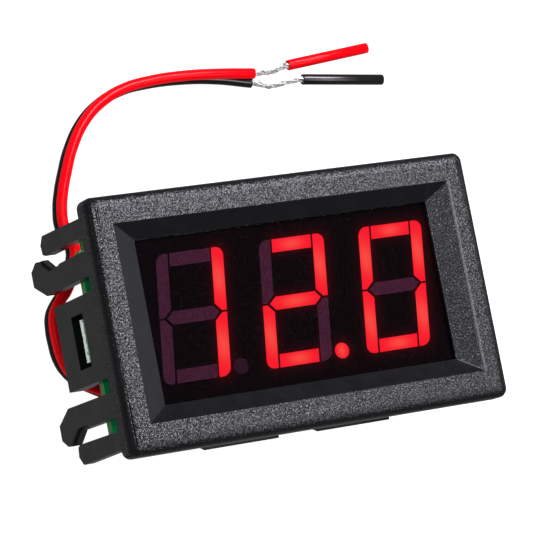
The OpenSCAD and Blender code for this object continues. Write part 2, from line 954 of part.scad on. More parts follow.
// A ring of points round point i of a route
function ring(route, i, r) =
    let (
        along = heading(route, i),
        side = unit(cross(along, wire_ref)),
        up = cross(side, along)
    )
    [
        for (k = [0 : wire_sides - 1])
            route[i] + r * (cos(360 * k / wire_sides) * side + sin(360 * k / wire_sides) * up)
    ];

// A closed tube swept along the points of a route
module tube(route, d) {
    rings = len(route);
    points = [for (i = [0 : rings - 1]) each ring(route, i, d / 2)];
    last = (rings - 1) * wire_sides;
    faces = concat(
        [[for (k = [0 : wire_sides - 1]) k]],
        [[for (k = [wire_sides - 1 : -1 : 0]) last + k]],
        [
            for (i = [0 : rings - 2], k = [0 : wire_sides - 1])
                let (
                    next = (k + 1) % wire_sides,
                    a = i * wire_sides + k,
                    b = i * wire_sides + next
                )
                each [[a, a + wire_sides, b], [b, a + wire_sides, b + wire_sides]]
        ]
    );
    polyhedron(points, faces);
}

// A piece of insulation that was pushed along its strands
module slug(at, turn, length) {
    translate(at)
        rotate([0, 90, turn])
            difference() {
                cylinder(d = wire_d, h = length);
                translate([0, 0, -past]) cylinder(d = slug_bore_d, h = length + 2 * past);
            }
}

module cord_red() { color("#d8141c") lift() tube(red_route, wire_d); }
module cord_black() { color("#19191b") lift() tube(black_route, wire_d); }
module strands_red() { color("#c9c9c6") lift() tube(red_strands, strand_d); }
module strands_black() { color("#c9c9c6") lift() tube(black_strands, strand_d); }
module slug_red() { color("#d8141c") lift() slug(red_slug_at, red_slug_turn, red_slug_len); }
module slug_black() { color("#19191b") lift() slug(black_slug_at, black_slug_turn, black_slug_len); }

// ---- nodes ----

housing();
window_film();
display_case();
display_potting();
display_pins();
left_digit_lit();
left_digit_dark();
middle_digit_lit();
middle_digit_dark();
right_digit_lit();
right_digit_dark();
point_lit();
point_dark();
circuit_board();
pin_solder();
wire_solder();
controller_body();
controller_leads();
regulator_body();
regulator_tabs();
diode_body();
diode_terminals();
tantalum_body();
tantalum_terminals();
resistor_bodies();
resistor_caps();
capacitor_bodies();
capacitor_caps();
transistor_bodies();
transistor_leads();
trimmer_base();
trimmer_terminals();
trimmer_rotor();
cord_red();
cord_black();
strands_red();
strands_black();
slug_red();
slug_black();
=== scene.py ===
"""Digital panel meter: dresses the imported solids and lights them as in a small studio.

Lengths are in metres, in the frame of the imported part: +X to the reader's right, +Y to the
top of the digits, +Z out of the display, and the resting plane at Z = 0.
"""
import math

import bmesh
import bpy
from mathutils import Matrix, Vector
from mathutils.bvhtree import BVHTree


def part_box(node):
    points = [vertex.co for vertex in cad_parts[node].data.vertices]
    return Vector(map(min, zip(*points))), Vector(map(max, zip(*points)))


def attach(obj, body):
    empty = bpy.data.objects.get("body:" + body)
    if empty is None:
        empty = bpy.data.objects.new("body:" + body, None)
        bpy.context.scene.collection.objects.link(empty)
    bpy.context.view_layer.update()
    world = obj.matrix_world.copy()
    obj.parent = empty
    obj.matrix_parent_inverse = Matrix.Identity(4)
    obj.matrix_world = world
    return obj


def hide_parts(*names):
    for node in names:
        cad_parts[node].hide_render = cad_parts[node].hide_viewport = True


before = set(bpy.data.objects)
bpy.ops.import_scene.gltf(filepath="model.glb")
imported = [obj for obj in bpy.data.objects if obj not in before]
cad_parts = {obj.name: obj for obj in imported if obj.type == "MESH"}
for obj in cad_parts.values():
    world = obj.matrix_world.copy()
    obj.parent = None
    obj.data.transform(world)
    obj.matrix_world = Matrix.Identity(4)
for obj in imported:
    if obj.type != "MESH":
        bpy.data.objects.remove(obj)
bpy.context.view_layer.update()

MM = 0.001
LIT_NODES = ("left_digit_lit", "middle_digit_lit", "right_digit_lit", "point_lit")
DARK_NODES = ("left_digit_dark", "middle_digit_dark", "right_digit_dark", "point_dark")

# Places read from the frame; the seat is the bezel's back face
BOARD_LOW, BOARD_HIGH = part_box("circuit_board")
FACE_LOW, FACE_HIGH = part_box("window_film")
SEAT = BOARD_LOW.z + 9.15 * MM

# The bezel: half sizes of the recess at its front and at the window, and what rounds the outside
RECESS_X, RECESS_Y = 21.25 * MM, 11.2 * MM
WINDOW_X, WINDOW_Y = 18.54 * MM, 9.29 * MM
BEZEL_HALF_H = 14.5 * MM
RIM_T = 1.7 * MM
EDGE_R = 1.2 * MM
CORNER_R = 1.0 * MM


# ---- helpers for shader nodes ----


class Shader:
    """A material with one Principled shader, and short ways to add nodes to it."""

    def __init__(self, name, color, roughness, metallic=0.0, specular=0.5):
        self.material = bpy.data.materials.new(name)
        self.material.use_nodes = True
        self.tree = self.material.node_tree
        self.main = self.tree.nodes["Principled BSDF"]
        self.main.inputs["Base Color"].default_value = (*color, 1.0)
        self.main.inputs["Roughness"].default_value = roughness
        self.main.inputs["Metallic"].default_value = metallic
        self.main.inputs["Specular IOR Level"].default_value = specular
        self.place = self.add("ShaderNodeTexCoord").outputs["Object"]

    def add(self, kind, **inputs):
        node = self.tree.nodes.new(kind)
        for socket, value in inputs.items():
            self.feed(node.inputs[socket.replace("_", " ")], value)
        return node

    def feed(self, socket, value):
        if isinstance(value, bpy.types.NodeSocket):
            self.tree.links.new(value, socket)
        else:
            socket.default_value = value

    def surface(self, **inputs):
        """Feeds the Principled shader's own sockets."""
        for socket, value in inputs.items():
            self.feed(self.main.inputs[socket.replace("_", " ")], value)

    def noise(self, size, detail=2.0, result="Fac"):
        """Noise whose lumps are about as long as size."""
        node = self.add("ShaderNodeTexNoise", Vector=self.place, Scale=1.0 / size, Detail=detail)
        return node.outputs[result]

    def math(self, operation, a, b=0.0, clamp=False):
        node = self.add("ShaderNodeMath")
        node.operation = operation
        node.use_clamp = clamp
        self.feed(node.inputs[0], a)
        self.feed(node.inputs[1], b)
        return node.outputs[0]

    def vector(self, operation, a, b, result="Vector"):
        node = self.add("ShaderNodeVectorMath")
        node.operation = operation
        self.feed(node.inputs[0], a)
        self.feed(node.inputs[1], b)
        return node.outputs[result]

    def spread(self, value, low, high, out_low=0.0, out_high=1.0):
        """Maps low..high to out_low..out_high, clamped."""
        node = self.add("ShaderNodeMapRange", Value=value)
        node.inputs["From Min"].default_value = low
        node.inputs["From Max"].default_value = high
        node.inputs["To Min"].default_value = out_low
        node.inputs["To Max"].default_value = out_high
        return node.outputs["Result"]

    def mix(self, share, a, b):
        """A colour between a and b."""
        node = self.add("ShaderNodeMix")
        node.data_type = "RGBA"
        self.feed(node.inputs["Factor"], share)
        for socket, value in ((node.inputs[6], a), (node.inputs[7], b)):
            self.feed(socket, value if isinstance(value, bpy.types.NodeSocket) else (*value, 1.0))
        return node.outputs[2]

    def bump(self, height, depth, strength):
        node = self.add("ShaderNodeBump", Height=height, Distance=depth, Strength=strength)
        return node.outputs["Normal"]

    def grain(self, size, depth):
        """The surface's normal, tipped this way and that by pits about as wide as size."""
        pits = self.noise(size, 1.0, result="Color")
        scale = self.add("ShaderNodeVectorMath", Vector=self.vector("SUBTRACT", pits, (0.5, 0.5, 0.5)))
        scale.operation = "SCALE"
        self.feed(scale.inputs["Scale"], depth)
        tipped = self.vector("ADD", self.geometry("Normal"), scale.outputs[0])
        return self.vector("NORMALIZE", tipped, (0.0, 0.0, 0.0))

    def geometry(self, result):
        return self.add("ShaderNodeNewGeometry").outputs[result]

    def axis(self, vector, index):
        return self.add("ShaderNodeSeparateXYZ", Vector=vector).outputs[index]

    def attribute(self, name, result="Vector"):
        """A value that the mesh carries at its vertices."""
        node = self.add("ShaderNodeAttribute")
        node.attribute_name = name
        return node.outputs[result]


# ---- materials ----


def painted_edge_highlight(s):
    """Where the recess's edges carry a painted highlight: a bright line painted along the border at
    the right and the mitre below it.
    """
    x, y, z = (s.axis(s.place, i) for i in range(3))
    from_border = s.math("ABSOLUTE", s.math("SUBTRACT", x, RECESS_X))
    border = s.spread(from_border, 0.06 * MM, 0.2 * MM, 1.0, 0.0)
    beside = s.spread(s.math("ABSOLUTE", y), RECESS_Y, RECESS_Y + 0.1 * MM, 1.0, 0.0)
    across = s.spread(x, WINDOW_X, RECESS_X)
    down = s.spread(y, -WINDOW_Y, -RECESS_Y)
    mitre = s.spread(s.math("ABSOLUTE", s.math("SUBTRACT", across, down)), 0.02, 0.05, 1.0, 0.0)
    starts, stops = s.spread(across, 0.02, 0.06), s.spread(across, 0.94, 0.98, 1.0, 0.0)
    inside = s.math("MULTIPLY", starts, stops)
    front = s.spread(z, SEAT + 1.4 * MM, SEAT + 1.5 * MM)
    highlight_lines = s.math("MAXIMUM", s.math("MULTIPLY", border, beside), s.math("MULTIPLY", mitre, inside))
    return s.math("MULTIPLY", highlight_lines, front)


def moulded_black():
    """Black ABS: spark-eroded grain outside the recess, satin slopes, and satin prongs."""
    s = Shader("moulded_black", (0.0028, 0.0028, 0.0036), 0.3)
    x, y, z = (s.axis(s.place, i) for i in range(3))
    normal = s.geometry("True Normal")
    on_bezel = s.spread(z, SEAT + 0.02 * MM, SEAT + 0.12 * MM)

    # Grain lies on the face round the recess, less on its roundings, and on the right slope
    in_x = s.spread(s.math("ABSOLUTE", x), RECESS_X, RECESS_X + 0.1 * MM)
    in_y = s.spread(s.math("ABSOLUTE", y), RECESS_Y, RECESS_Y + 0.1 * MM)
    upward = s.spread(s.axis(normal, 2), 0.8, 0.98, 0.5, 1.0)
    outside = s.math("MULTIPLY", s.math("MAXIMUM", in_x, in_y), upward)
    right_slope = s.math("SUBTRACT", s.spread(s.axis(normal, 0), -0.3, -0.42), in_x, clamp=True)
    grained = s.math("MULTIPLY", s.math("MAXIMUM", outside, right_slope), on_bezel)

    # It is deepest and shiniest at the left
    pits = s.spread(x, -RECESS_X, 0.5 * RECESS_X, 1.8, 1.1)
    matt_share = s.spread(x, -RECESS_X, 0.5 * RECESS_X, 0.05, 0.15)
    satin = s.spread(s.noise(1.8 * MM), 0.3, 0.7, 0.23, 0.29)

    # Faint flow marks lie on the walls and prongs, and a painted highlight, a bright line, lies on the
    # recess's edges
    marks = s.spread(s.noise(2.2 * MM, 3.0), 0.35, 0.7)
    flow = s.math("MULTIPLY", marks, s.math("SUBTRACT", 1.0, on_bezel))
    black = s.mix(flow, (0.0024, 0.0024, 0.003), (0.007, 0.007, 0.0075))
    # Painted light: the right slope's base colour is lighter, standing for the light that slope
    # catches
    black = s.mix(s.math("MULTIPLY", right_slope, on_bezel), black, (0.008, 0.008, 0.009))
    s.surface(
        Base_Color=s.mix(painted_edge_highlight(s), black, (0.075, 0.075, 0.082)),
        Roughness=s.math("ADD", satin, s.math("MULTIPLY", grained, matt_share)),
        Normal=s.grain(0.17 * MM, s.math("MAXIMUM", s.math("MULTIPLY", grained, pits), 0.05)),
    )
    return s.material


def smoked_film():
    """Dark tinted film with fine pale specks, and a painted glow: it emits a faint red near the lit
    segments, in place of the light they scatter into it.
    """
    s = Shader("smoked_film", (0.002, 0.0006, 0.001), 0.06, specular=0.3)
    # Fine pale specks mixed into the film's colour
    specks = s.spread(s.noise(0.13 * MM, 1.0), 0.64, 0.84)
    s.surface(
        Alpha=0.35,
        Base_Color=s.mix(specks, (0.002, 0.0006, 0.001), (0.06, 0.034, 0.052)),
        Emission_Color=(1.0, 0.0, 0.02, 1.0),
        # Painted glow: emission near the lit segments, standing for their light scattered in the film
        Emission_Strength=s.math("MULTIPLY", s.attribute("glow", "Fac"), 0.08),
    )
    return s.material


def display_black():
    s = Shader("display_black", (0.001, 0.0003, 0.0006), 0.8, specular=0.02)
    s.surface(Normal=s.bump(s.noise(0.12 * MM), 0.01 * MM, 0.4))
    return s.material


def segment_lit():
    """The light guide over a lit chip: palest over the chip, deep red at its ends."""
    s = Shader("segment_lit", (0.2, 0.004, 0.01), 0.6, specular=0.03)
    from_spot = s.vector("SUBTRACT", s.place, s.attribute("spot_at"))
    away = s.vector("DIVIDE", from_spot, s.attribute("spot_reach"))
    squared = s.vector("DOT_PRODUCT", away, away, result="Value")
    pale = s.math("EXPONENT", s.math("MULTIPLY", squared, -1.6))
    s.surface(
        Emission_Color=s.mix(pale, (1.0, 0.007, 0.021), (1.0, 0.075, 0.056)),
        Emission_Strength=2.0,
    )
    return s.material


def segment_dark(name, dark, light):
    """A light guide over a chip that is off: cloudy mauve."""
    s = Shader(name, dark, 0.7, specular=0.03)
    s.surface(Base_Color=s.mix(s.spread(s.noise(0.22 * MM, 3.0), 0.35, 0.65), dark, light))
    return s.material


def board_green():
    """Green solder mask over faint tracks, the cut edge, and the torn ends of the side tabs."""
    s = Shader("board_green", (0.0, 0.4, 0.11), 0.35)
    x, z = s.axis(s.place, 0), s.axis(s.place, 2)
    facing = s.axis(s.geometry("True Normal"), 2)
    bricks = s.add("ShaderNodeTexBrick", Vector=s.place, Scale=320.0, Mortar_Size=0.03)
    tracks = s.spread(bricks.outputs["Fac"], 0.0, 1.0, 0.0, 0.35)
    front_mask = s.mix(tracks, (0.0, 0.5, 0.13), (0.02, 0.7, 0.24))
    # Painted shade: the back face gets a far darker mask colour, standing for the shade it lies in
    shaded_back_mask = s.mix(tracks, (0.0, 0.07, 0.02), (0.0, 0.13, 0.045))
    mask = s.mix(s.spread(facing, -0.6, -0.4, 1.0, 0.0), front_mask, shaded_back_mask)

    # The cut edge shows the fibre, and the tabs' ends are torn pale but for the mask at the front
    fibre = s.spread(s.noise(0.16 * MM, 4.0), 0.35, 0.65)
    cut = s.mix(fibre, (0.035, 0.13, 0.025), (0.13, 0.32, 0.09))
    level = s.math("ADD", z, s.math("MULTIPLY", s.noise(0.5 * MM, 3.0), 0.9 * MM))
    near_front = s.spread(level, BOARD_LOW.z + 1.2 * MM, BOARD_LOW.z + 1.4 * MM)
    torn = s.mix(near_front, s.mix(fibre, (0.42, 0.46, 0.42), (0.95, 0.98, 0.95)), (0.06, 0.24, 0.07))
    chips = s.spread(s.noise(0.45 * MM, 1.0), 0.66, 0.7)
    torn = s.mix(chips, torn, (0.004, 0.01, 0.004))
    at_end = s.spread(s.math("ABSOLUTE", x), BOARD_HIGH.x - 0.3 * MM, BOARD_HIGH.x - 0.2 * MM)
    on_face = s.spread(s.math("ABSOLUTE", facing), 0.4, 0.6)
    s.surface(
        Base_Color=s.mix(on_face, s.mix(at_end, cut, torn), mask),
        Normal=s.bump(s.noise(0.2 * MM, 3.0), 0.03 * MM, 0.3),
    )
    return s.material


def pvc(name, color, specular):
    """Wire insulation: glossy, and a little uneven along its length."""
    s = Shader(name, color, 0.3, specular=specular)
    s.surface(
        Roughness=s.spread(s.noise(2.0 * MM), 0.3, 0.7, 0.17, 0.23),
        Normal=s.bump(s.noise(0.9 * MM), 0.05 * MM, 0.15),
    )
    return s.material


def metal(name, color, roughness, grain=0.2 * MM):
    """A plain metal with a fine uneven skin."""
    s = Shader(name, color, roughness, metallic=1.0)
    patches = s.noise(grain * 2)
    s.surface(
        Roughness=s.spread(patches, 0.3, 0.7, roughness * 0.8, roughness * 1.3),
        Normal=s.bump(s.noise(grain, 3.0), 0.02 * MM, 0.35),
    )
    return s.material


def strand_metal():
    """Bright tinned copper, with dark streaks of painted shade where the strands lie against each
    other.
    """
    s = Shader("tinned_strand", (0.9, 0.9, 0.87), 0.22, metallic=0.6)
    shade_streak = s.spread(s.noise(0.45 * MM, 1.0), 0.5, 0.66)
    s.surface(Base_Color=s.mix(shade_streak, (0.84, 0.83, 0.79), (0.26, 0.23, 0.2)))
    return s.material


def matt(name, dark, light, roughness, grain=0.15 * MM):
    """A moulded or fired body: two near colours in fine lumps."""
    s = Shader(name, dark, roughness)
    s.surface(
        Base_Color=s.mix(s.spread(s.noise(grain, 4.0), 0.3, 0.7), dark, light),
        Normal=s.bump(s.noise(grain, 3.0), 0.02 * MM, 0.4),
    )
    return s.material


# ---- helpers for meshes ----


def piece(name, mesh, material, body="meter", replaces=()):
    """Puts a mesh or curve in the scene as a piece that rides on a body."""
    made = bpy.data.objects.new(name, mesh)
    bpy.context.scene.collection.objects.link(made)
    mesh.materials.clear()
    mesh.materials.append(material)
    bpy.context.view_layer.update()
    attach(made, body)
    if replaces:
        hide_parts(*replaces)
    return made


def clean_copy(node):
    """A CAD node's mesh with its vertices joined and its flat faces in one piece."""
    bm = bmesh.new()
    bm.from_mesh(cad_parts[node].data)
    bmesh.ops.remove_doubles(bm, verts=bm.verts, dist=0.0005 * MM)
    bmesh.ops.dissolve_limit(bm, angle_limit=math.radians(0.5), verts=bm.verts, edges=bm.edges)
    return bm


def to_mesh(bm, name, smooth=True):
    """A mesh with outward normals from a bmesh, which is freed."""
    mesh = bpy.data.meshes.new(name)
    bmesh.ops.recalc_face_normals(bm, faces=bm.faces)
    bm.to_mesh(mesh)
    bm.free()
    mesh.polygons.foreach_set("use_smooth", [smooth] * len(mesh.polygons))
    return mesh


def soften_corners(bm):
    """Rounds the bezel's corners at every height, as the mould's polish does.

    The cuts give each corner enough vertices, which then move onto arcs.
    """
    half_w, half_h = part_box("housing")[1].x, BEZEL_HALF_H
    cuts = 7
    for k in range(1, cuts + 1):
        inset = k * CORNER_R / cuts
        for normal, reach in ((Vector((1, 0, 0)), half_w), (Vector((0, 1, 0)), half_h)):
            for side in (-1, 1):
                bmesh.ops.bisect_plane(
                    bm, geom=bm.verts[:] + bm.edges[:] + bm.faces[:], dist=0.0001 * MM,
                    plane_co=normal * side * (reach - inset), plane_no=normal,
                )
    for v in bm.verts:
        up = v.co.z - SEAT
        if up < -0.001 * MM:
            continue
        drop = max(up - RIM_T, 0.0)
        shrink = EDGE_R - math.sqrt(max(EDGE_R ** 2 - drop ** 2, 0.0))
        x, y = half_w - shrink - CORNER_R, half_h - shrink - CORNER_R
        over = Vector((abs(v.co.x) - x, abs(v.co.y) - y))
        if over.x > 0 and over.y > 0 and over.length > CORNER_R:
            over *= CORNER_R / over.length
            v.co.x = math.copysign(x + over.x, v.co.x)
            v.co.y = math.copysign(y + over.y, v.co.y)


def rounded(node, name, material, width, body="meter", segments=2, reshape=None):
    """A copy of a CAD node with its sharp edges rounded, in place of the node."""
    bm = clean_copy(node)
    if reshape:
        reshape(bm)
    made = piece(name, to_mesh(bm, name), material, body, [node])
    bevel = made.modifiers.new("round", "BEVEL")
    bevel.width = width
    bevel.segments = segments
    bevel.limit_method = "ANGLE"
    bevel.angle_limit = math.radians(22)  # more than the steps of an arc, less than a slope's edge
    bevel.harden_normals = True
    made.modifiers.new("shade", "WEIGHTED_NORMAL").keep_sharp = True
    return made


def dress(node, material):
    """Gives a CAD node that keeps its shape its material."""
    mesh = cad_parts[node].data
    mesh.materials.clear()
    mesh.materials.append(material)


def carried(path):
    """Each point of a path with two directions square to it, which don't twist on the way."""
    side = None
    for i, point in enumerate(path):
        along = (path[min(i + 1, len(path) - 1)] - path[max(i - 1, 0)]).normalized()
        if side is None:
            side = along.orthogonal().normalized()
        side = (side - along * side.dot(along)).normalized()
        yield point, side, along.cross(side)


def ring(bm, centre, side, up, radius, sides):
    """A round of vertices about a centre."""
    return [
        bm.verts.new(centre + radius * (math.cos(a) * side + math.sin(a) * up))
        for a in (2 * math.pi * k / sides for k in range(sides))
    ]


def bridge(bm, low, high):
    """The faces between two rounds of vertices."""
    sides = len(low)
    for k in range(sides):
        bm.faces.new((low[k], low[(k + 1) % sides], high[(k + 1) % sides], high[k]))


def tube(bm, points, radius, sides=8):
    """Adds a closed round tube that follows the points."""
    rings = [ring(bm, point, side, up, radius, sides) for point, side, up in carried(points)]
    for low, high in zip(rings, rings[1:]):
        bridge(bm, low, high)
    bm.faces.new(list(reversed(rings[0])))
    bm.faces.new(rings[-1])


def smooth_path(points, steps):
    """More points on a smooth curve through the given ones."""
    out = []
    for i in range(len(points) - 1):
        before = points[max(i - 1, 0)]
        a, b = points[i], points[i + 1]
        after = points[min(i + 2, len(points) - 1)]
        for k in range(steps):
            t = k / steps
            out.append(0.5 * (
                2 * a + (b - before) * t
                + (2 * before - 5 * a + 4 * b - after) * t * t
                + (3 * a - before - 3 * b + after) * t ** 3
            ))
    return out + [points[-1]]


def millimetres(points):
    """Points given in millimetres, with heights from the bezel's back, in the row frame."""
    return [Vector((x * MM, y * MM, SEAT + z * MM)) for x, y, z in points]


# ---- camera, floor and light ----

# Placed so that the bezel's edges lie where the photograph shows them
CAMERA_AT = Vector((-0.15115, -0.03204, 0.32090))
CAMERA_FORWARD = Vector((0.44054, 0.10828, -0.89118))
CAMERA_UP = Vector((0.12290, 0.97608, 0.17935))
CAMERA_LENS = 201.91
SENSOR = 36.0

# What the lights point at, and their colour
CENTRE = Vector((0.0, 0.004, 0.012))
LAMP_COLOR = (0.97, 0.97, 1.06)


def aim(made, forward, up):
    """Turns an object so that its -Z runs forward and its +Y lies towards up."""
    back = -forward.normalized()
    right = up.cross(back).normalized()
    above = back.cross(right)
    made.rotation_mode = "QUATERNION"
    turn = [[right[i], above[i], back[i]] for i in range(3)]
    made.rotation_quaternion = Matrix(turn).to_quaternion()


def make_camera():
    data = bpy.data.cameras.new("camera")
    data.sensor_width = SENSOR
    data.lens = CAMERA_LENS
    data.clip_start = 0.01
    data.clip_end = 10.0
    made = bpy.data.objects.new("camera", data)
    bpy.context.scene.collection.objects.link(made)
    made.location = CAMERA_AT
    aim(made, CAMERA_FORWARD, CAMERA_UP)
    bpy.context.scene.camera = made


def softbox(name, direction, distance, size, radiance, mirrored=True):
    """A square light whose panel has that radiance, pointed at the part; gloss may skip it."""
    data = bpy.data.lights.new(name, "AREA")
    data.shape = "SQUARE"
    data.size = size
    data.energy = radiance * math.pi * size * size
    data.color = LAMP_COLOR
    made = bpy.data.objects.new(name, data)
    bpy.context.scene.collection.objects.link(made)
    direction = Vector(direction).normalized()
    made.location = CENTRE + direction * distance
    made.visible_glossy = mirrored
    steep = abs(direction.z) >= 0.9
    aim(made, -direction, Vector((0.0, 1.0, 0.0)) if steep else Vector((0.0, 0.0, 1.0)))


def make_floor():
    """A white sweep that shines evenly, so that the part's shadow on it is faint."""
    mesh = bpy.data.meshes.new("floor")
    reach = 2.5
    corners = [(-reach, -reach, 0), (reach, -reach, 0), (reach, reach, 0), (-reach, reach, 0)]
    mesh.from_pydata(corners, [], [(0, 1, 2, 3)])
    s = Shader("floor_white", (0.25, 0.25, 0.25), 0.9, specular=0.0)
    s.surface(Emission_Color=(1.0, 1.0, 1.0, 1.0), Emission_Strength=0.95)
    mesh.materials.append(s.material)
    made = bpy.data.objects.new("floor", mesh)
    bpy.context.scene.collection.objects.link(made)
    made.location.z = -0.02 * MM
    made.visible_glossy = False


def make_world():
    """Grey studio: dim above, brighter at the level of the table."""
    world = bpy.data.worlds.new("studio")
    bpy.context.scene.world = world
    world.use_nodes = True
    tree = world.node_tree
    back = tree.nodes["Background"]
    ramp = tree.nodes.new("ShaderNodeValToRGB")
    place = tree.nodes.new("ShaderNodeTexCoord")
    split = tree.nodes.new("ShaderNodeSeparateXYZ")
    rise = tree.nodes.new("ShaderNodeMapRange")
    rise.inputs["From Min"].default_value = -1.0
    tree.links.new(place.outputs["Generated"], split.inputs[0])
    tree.links.new(split.outputs[2], rise.inputs["Value"])
    tree.links.new(rise.outputs["Result"], ramp.inputs["Fac"])
    tree.links.new(ramp.outputs["Color"], back.inputs["Color"])
    below, above = ramp.color_ramp.elements
    below.position, below.color = 0.35, (0.2, 0.2, 0.2, 1.0)
    above.position, above.color = 0.6, (0.13, 0.13, 0.135, 1.0)


bpy.context.scene.view_settings.view_transform = "Standard"
make_camera()
make_floor()
make_world()

# The key and the overhead lights give the bezel's face its sheen; the wash lights matt surfaces only
softbox("key", (0.27, 0.47, 0.84), 0.55, 0.24, 22.0)
softbox("key_low", (0.3, -0.35, 0.88), 0.45, 0.2, 5.5)
softbox("overhead", (-0.05, 0.2, 0.98), 0.6, 0.16, 4.5)
softbox("fill_left", (-0.486, 0.108, 0.868), 0.6, 0.3, 0.35)
softbox("fill_right", (0.966, 0.108, 0.233), 0.6, 0.18, 0.62)
softbox("wash", (-0.4, -0.1, 0.9), 0.6, 0.6, 1.4, mirrored=False)

# ---- wires ----

WIRE_D = 1.3 * MM

# The routes of part.scad, in millimetres, with heights taken from the bezel's back
RED_ROUTE = [
    (-14, -6.6, -10), (-14, -6.6, -11.6), (-14.3, -6.5, -13.7), (-15.2, -6.1, -15.8),
    (-16.6, -5.4, -17.4), (-18.2, -4.6, -18), (-19.7, -3.7, -18), (-21, -2.2, -18),
    (-21.6, -0.5, -18), (-21.8, 1.3, -18), (-21.8, 3, -18), (-21.5, 4.6, -18),
    (-20.6, 5.9, -18), (-19.45, 7.1, -18), (-18.6, 8.5, -18), (-18, 10, -18),
    (-17.5, 11.6, -18), (-17.75, 13.1, -18), (-18.3, 14.7, -18), (-18.2, 16.6, -18),
    (-17.65, 18.7, -18), (-16.7, 21.1, -18), (-15.4, 23.8, -18), (-13.3, 26.7, -18),
    (-10.8, 28.7, -18), (-7.5, 30.1, -18), (-4.2, 30.65, -18), (0.4, 30.85, -18),
    (5.1, 30.65, -18.02), (9.9, 30.3, -18.34),
]
BLACK_ROUTE = [
    (-12.2, -8.5, -10), (-12.2, -8.5, -12), (-12.4, -8.4, -14.2), (-13.3, -7.8, -16.9),
    (-14.9, -6.6, -18.7), (-16.6, -5.3, -19.25), (-18.3, -4.3, -19.34), (-19.7, -3.4, -19.34),
    (-20.9, -2.1, -19.34), (-21.6, -0.5, -19.34), (-21.8, 1.3, -19.34), (-21.8, 3, -19.34),
    (-21.5, 4.6, -19.34), (-20.6, 5.9, -19.34), (-19.45, 7.1, -19.34), (-18.6, 8.5, -19.34),
    (-18, 10, -19.34), (-17.5, 11.6, -19.34), (-17.75, 13.1, -19.34), (-18.3, 14.7, -19.34),
    (-18.2, 16.6, -19.34), (-17.65, 18.7, -19.34), (-16.7, 21.1, -19.34), (-15.4, 23.8, -19.34),
    (-13.3, 26.7, -19.34), (-10.8, 28.7, -19.34), (-7.5, 30.1, -19.34), (-4.2, 30.6, -19.34),
    (0.4, 30.7, -19.34), (5.1, 30.3, -19.34), (9.8, 29.4, -19.34),
]
RED_STRANDS = [
    (9.92, 30.3, -18.35), (11, 30.35, -18.55), (12.1, 30.4, -18.85), (13.3, 30.6, -19.15),
    (14.4, 30.95, -19.32), (15.2, 31.06, -19.34), (16.7, 31.21, -19.34),
]
BLACK_STRANDS = [
    (9.82, 29.4, -19.34), (10.9, 29.15, -19.36), (12, 28.82, -19.38), (12.8, 28.82, -19.38),
    (14.2, 29, -19.36), (15.5, 29.15, -19.34), (16.8, 29.13, -19.34), (18.3, 28.98, -19.34),
]

# Where each loose slug starts, how long it is, and how far both lean from the bezel's long side
RED_SLUG_AT, RED_SLUG_LEN = (15.2, 31.06, -19.34), 11.3 * MM
BLACK_SLUG_AT, BLACK_SLUG_LEN = (16.8, 29.13, -19.34), 11.0 * MM
SLUG_LEAN = 5.8


def wire(name, route, material, node):
    """A smooth curve through the route's points, as thick as the wire."""
    curve = bpy.data.curves.new(name, "CURVE")
    curve.dimensions = "3D"
    curve.bevel_depth = WIRE_D / 2
    curve.bevel_resolution = 6
    curve.resolution_u = 8
    curve.use_fill_caps = True
    points = millimetres(route)
    spline = curve.splines.new("BEZIER")
    spline.bezier_points.add(len(points) - 1)
    for knot, point in zip(spline.bezier_points, points):
        knot.co = point
        knot.handle_left_type = knot.handle_right_type = "AUTO"
    return piece(name, curve, material, replaces=[node])


def strands(name, route, material, node, count=4, turns=1.3):
    """Tinned strands twisted round the bundle's centre line."""
    path = smooth_path(millimetres(route), 10)
    strand_r, ring_r = 0.14 * MM, 0.25 * MM
    bm = bmesh.new()
    for strand in range(count):
        line = []
        for i, (point, side, up) in enumerate(carried(path)):
            angle = 2 * math.pi * (strand / count + turns * i / (len(path) - 1))
            line.append(point + ring_r * (math.cos(angle) * side + math.sin(angle) * up))
        tube(bm, line, strand_r)
    return piece(name, to_mesh(bm, name), material, replaces=[node])


def slug(name, at, lean, length, material, node):
    """A short length of insulation with a bore and worn rims, turned as a lathe would."""
    along = Vector((math.cos(math.radians(lean)), math.sin(math.radians(lean)), 0.0))
    start = millimetres([at])[0]
    side = along.orthogonal().normalized()
    up = along.cross(side)
    outer, inner, soft = WIRE_D / 2, 0.4 * MM, 0.06 * MM
    profile = [
        (0.0, inner + soft), (0.0, outer - soft), (soft * 0.3, outer - soft * 0.3), (soft, outer),
        (length - soft, outer), (length - soft * 0.3, outer - soft * 0.3), (length, outer - soft),
        (length, inner + soft), (length - soft, inner), (soft, inner),
    ]
    bm = bmesh.new()
    rings = [ring(bm, start + along * x, side, up, r, 32) for x, r in profile]
    for low, high in zip(rings, rings[1:] + rings[:1]):
        bridge(bm, low, high)
    made = piece(name, to_mesh(bm, name), material, replaces=[node])
    made.data.set_sharp_from_angle(angle=math.radians(50))
    return made


red = pvc("pvc_red", (0.74, 0.0012, 0.005), 0.09)
black = pvc("pvc_black", (0.006, 0.006, 0.0065), 0.45)
tinned = strand_metal()
wire_red = wire("wire_red", RED_ROUTE, red, "cord_red")
wire_black = wire("wire_black", BLACK_ROUTE, black, "cord_black")
twist_red = strands("twist_red", RED_STRANDS, tinned, "strands_red")
twist_black = strands("twist_black", BLACK_STRANDS, tinned, "strands_black")
end_red = slug("end_red", RED_SLUG_AT, SLUG_LEAN, RED_SLUG_LEN, red, "slug_red")
end_black = slug(
    "end_black", BLACK_SLUG_AT, -SLUG_LEAN, BLACK_SLUG_LEN, black, "slug_black"
)
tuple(millimetres(RED_ROUTE)[0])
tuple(millimetres(BLACK_ROUTE)[0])

# ---- housing ----

rounded(
    "housing", "moulded_housing", moulded_black(), 0.1 * MM, reshape=soften_corners
)

# ---- display ----


